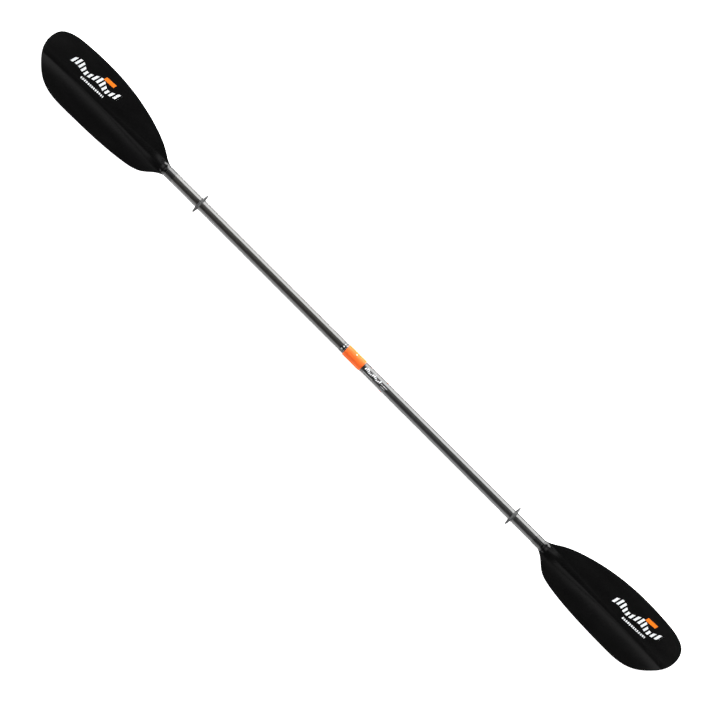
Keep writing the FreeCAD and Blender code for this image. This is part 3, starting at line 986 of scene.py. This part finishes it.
class PADDLE_OT_socket(bpy.types.Operator):
    """Build the socket's flange and liner"""
    bl_idname = "paddle.socket"
    bl_label = "Socket liner"

    def execute(self, context):
        low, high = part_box("socket_liner")
        bore = 9.95 * MM
        flange_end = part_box("right_shaft_tube")[0].x
        profile = ((low.x, bore), (high.x, bore), (high.x, TUBE_BORE), (flange_end, TUBE_BORE),
                   (flange_end, high.z), (low.x, high.z))
        shape = bmesh.new()
        turn_profile(shape, profile, sizes().round_steps)
        soften(shape, 0.35 * MM, 3)
        finish = moulded_finish("socket_nylon", (0.01, 0.01, 0.011), 0.3, 0.4)
        even_normals(make_piece("socket_moulding", shape, "right_half", [finish],
                                ["socket_liner"]))
        return {"FINISHED"}


class PADDLE_OT_buttons(bpy.types.Operator):
    """Build the two release buttons"""
    bl_idname = "paddle.buttons"
    bl_label = "Release buttons"

    def execute(self, context):
        finish = moulded_finish("button_plastic", tuple(colours().collar), 0.36, 0.46, 0.3)
        for side, node in ((1, "upper_button"), (-1, "lower_button")):
            low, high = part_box(node)
            seat = min(abs(low.y), abs(high.y))
            top = max(abs(low.y), abs(high.y))
            flange = (high.x - low.x) / 2
            radius = 3.25 * MM
            ledge = seat + 0.9 * MM
            shape = bmesh.new()
            profile = ((0, seat), (flange, seat), (flange, ledge), (radius, ledge),
                       (radius, top - 0.55 * MM), (0.93 * radius, top - 0.2 * MM),
                       (0.72 * radius, top - 0.05 * MM), (0, top))
            corners = [shape.verts.new((reach, level, 0)) for reach, level in profile]
            edges = [shape.edges.new(pair) for pair in zip(corners, corners[1:])]
            bmesh.ops.spin(shape, geom=corners + edges, cent=(0, 0, 0), axis=(0, 1, 0),
                           angle=2 * math.pi, steps=64, use_merge=True)
            bmesh.ops.remove_doubles(shape, verts=shape.verts, dist=1e-7)
            bmesh.ops.translate(shape, vec=(BUTTON_PLACE, 0, 0), verts=shape.verts)
            bmesh.ops.scale(shape, vec=(1, side, 1), verts=shape.verts)
            bmesh.ops.recalc_face_normals(shape, faces=shape.faces)
            soften(shape, 0.12 * MM)
            body = "upper_release" if side > 0 else "lower_release"
            even_normals(make_piece(node + "_cap", shape, body, [finish], [node]))
        return {"FINISHED"}


class PADDLE_OT_drip_rings(bpy.types.Operator):
    """Build the two rubber drip rings"""
    bl_idname = "paddle.drip_rings"
    bl_label = "Drip rings"

    def execute(self, context):
        finish = rubber_finish("drip_ring_rubber", tuple(colours().rubber))
        for node, body in (("left_drip_ring", "left_ring"), ("right_drip_ring", "right_ring")):
            low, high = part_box(node)
            middle = (low.x + high.x) / 2
            half = (high.x - low.x) / 2
            lip = high.z - 0.02 * MM
            bore = SHAFT_RADIUS + 0.08 * MM
            hub = bore + 1.5 * MM
            right = [(half, hub - 0.5 * MM), (half - 0.5 * MM, hub), (0.76 * half, hub + 0.5 * MM),
                     (0.62 * half, hub + 1.8 * MM), (0.5 * half, hub + 4.2 * MM),
                     (0.4 * half, lip - 3.2 * MM), (0.33 * half, lip - 0.9 * MM),
                     (0.22 * half, lip - 0.25 * MM)]
            profile = [(middle + x, level) for x, level in right] + [(middle, lip)]
            profile += [(middle - x, level) for x, level in reversed(right)]
            profile += [(middle - half, bore), (middle + half, bore)]
            shape = bmesh.new()
            turn_profile(shape, profile, sizes().round_steps)
            make_piece(node + "_rubber", shape, body, [finish], [node])
        return {"FINISHED"}


class PADDLE_OT_inner_finishes(bpy.types.Operator):
    """Give the inner pieces that keep their shape their materials"""
    bl_idname = "paddle.inner_finishes"
    bl_label = "Inner pieces"

    def execute(self, context):
        nylon = moulded_finish("inner_nylon", (0.014, 0.014, 0.015), 0.36, 0.48)
        steel = steel_finish("drawn_steel")
        rows = {
            nylon: ("index_insert", "index_spring_seat", "socket_end_cup", "ferrule_plug"),
            steel: ("index_spring", "index_bolt", "index_washer"),
            foam_finish("closed_cell_foam"): ("left_bulkhead", "right_bulkhead"),
            rubber_finish("o_ring_rubber", (0.012, 0.012, 0.012)): ("ferrule_o_ring",),
            moulded_finish("latch_plastic", (0.3, 0.31, 0.33), 0.3, 0.4): ("latch_ring",),
        }
        for material, nodes in rows.items():
            for node in nodes:
                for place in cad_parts[node].material_slots:
                    place.material = material
        return {"FINISHED"}


# Stage

def add_panel(name, centre, target, width, height, power):
    """A soft rectangular light that faces a target."""
    light = bpy.data.lights.new(name, "AREA")
    light.shape = "RECTANGLE"
    light.size = width
    light.size_y = height
    light.energy = power
    panel = bpy.data.objects.new(name, light)
    panel.location = centre
    panel.rotation_euler = (Vector(target) - Vector(centre)).to_track_quat("-Z", "Y").to_euler()
    panel.visible_camera = False
    bpy.context.scene.collection.objects.link(panel)
    return panel


class PADDLE_OT_stage(bpy.types.Operator):
    """Set the floor, the lights and the camera"""
    bl_idname = "paddle.stage"
    bl_label = "Stage"

    def execute(self, context):
        values = context.scene.paddle_stage
        self.floor()
        add_panel("key_panel", (0, 1.5, 0.6), (0, 0, 0.6), 3.4, 1.5, values.key_strength)
        add_panel("low_key_panel", (0, 1.5, -0.545), (0, 0, -0.545), 3.4, 0.79,
                  values.low_key_strength)
        add_panel("fill_panel", (0, -1.5, -0.4), (0, 0, -0.4), 3.4, 2.7, values.fill_strength)
        add_panel("flank_panel", (0, 0.85, 2.6), (0, 0, 0), 7.5, 0.7, values.flank_strength)
        for side, name in ((-1, "left_end_panel"), (1, "right_end_panel")):
            add_panel(name, (side * 3.1, 0.2, 2.0), (side * BLADE_ROOT, 0, 0), 2.0, 1.2,
                      values.end_strength)
        overhead = add_panel("overhead_panel", (0, 0.2, 3.0), (0, 0, 0), 3.4, 2.4,
                             values.overhead_strength)
        overhead.visible_glossy = False
        self.world()
        self.camera(values)
        context.scene.view_settings.view_transform = "Standard"
        return {"FINISHED"}

    def floor(self):
        shape = bmesh.new()
        bmesh.ops.create_grid(shape, x_segments=1, y_segments=1, size=60.0)
        bmesh.ops.translate(shape, vec=(0, 0, CAD_BOX[0].z), verts=shape.verts)
        mesh = bpy.data.meshes.new("floor")
        shape.to_mesh(mesh)
        shape.free()
        floor = bpy.data.objects.new("floor", mesh)
        bpy.context.scene.collection.objects.link(floor)
        finish = Finish("pale_floor")
        glow = finish.spread(finish.noise(3.0), 1.0, 1.03)
        finish.surface(Base_Color=(0.9, 0.9, 0.9, 1.0), Roughness=0.9,
                       Emission_Color=(1.0, 1.0, 1.0, 1.0), Emission_Strength=glow)
        mesh.materials.append(finish.material)
        floor.visible_glossy = False
        floor.visible_shadow = False

    def world(self):
        """White behind the object, dim everywhere else."""
        world = bpy.data.worlds.new("studio")
        world.use_nodes = True
        nodes, links = world.node_tree.nodes, world.node_tree.links
        seen = nodes.new("ShaderNodeBackground")
        seen.inputs["Color"].default_value = (1.0, 1.0, 1.0, 1.0)
        dim = nodes["Background"]
        dim.inputs["Color"].default_value = (1.0, 1.0, 1.0, 1.0)
        dim.inputs["Strength"].default_value = 0.045
        path = nodes.new("ShaderNodeLightPath")
        choose = nodes.new("ShaderNodeMixShader")
        links.new(path.outputs["Is Camera Ray"], choose.inputs[0])
        links.new(dim.outputs[0], choose.inputs[1])
        links.new(seen.outputs[0], choose.inputs[2])
        links.new(choose.outputs[0], nodes["World Output"].inputs["Surface"])
        bpy.context.scene.world = world

    def camera(self, values):
        data = bpy.data.cameras.new("camera")
        data.angle = 2 * math.atan(values.view_width / 2 / values.camera_height)
        camera = bpy.data.objects.new("camera", data)
        camera.location = (14.3 * MM, 6.2 * MM, values.camera_height)
        camera.rotation_euler = (0, 0, values.camera_turn)
        bpy.context.scene.collection.objects.link(camera)
        bpy.context.scene.camera = camera


OPERATORS = (PADDLE_OT_stage, PADDLE_OT_shaft, PADDLE_OT_blades, PADDLE_OT_bands, PADDLE_OT_scale,
             PADDLE_OT_collar, PADDLE_OT_socket, PADDLE_OT_buttons, PADDLE_OT_drip_rings,
             PADDLE_OT_inner_finishes)


class PADDLE_PT_tools(bpy.types.Panel):
    """The paddle's pieces, in the sidebar"""
    bl_label = "Kayak paddle"
    bl_space_type = "VIEW_3D"
    bl_region_type = "UI"
    bl_category = "Paddle"

    def draw(self, context):
        for operator in OPERATORS:
            self.layout.operator(operator.bl_idname)


GROUPS = (("paddle_sizes", PaddleSizes), ("paddle_colours", PaddleColours),
          ("paddle_stage", StageValues))


def register():
    for name, group in GROUPS:
        bpy.utils.register_class(group)
        setattr(bpy.types.Scene, name, PointerProperty(type=group))
    for operator in OPERATORS:
        bpy.utils.register_class(operator)
    bpy.utils.register_class(PADDLE_PT_tools)


def unregister():
    bpy.utils.unregister_class(PADDLE_PT_tools)
    for operator in reversed(OPERATORS):
        bpy.utils.unregister_class(operator)
    for name, group in reversed(GROUPS):
        delattr(bpy.types.Scene, name)
        bpy.utils.unregister_class(group)


def main():
    register()
    for operator in OPERATORS:
        family, name = operator.bl_idname.split(".")
        getattr(getattr(bpy.ops, family), name)()


if __name__ == "__main__":
    main()
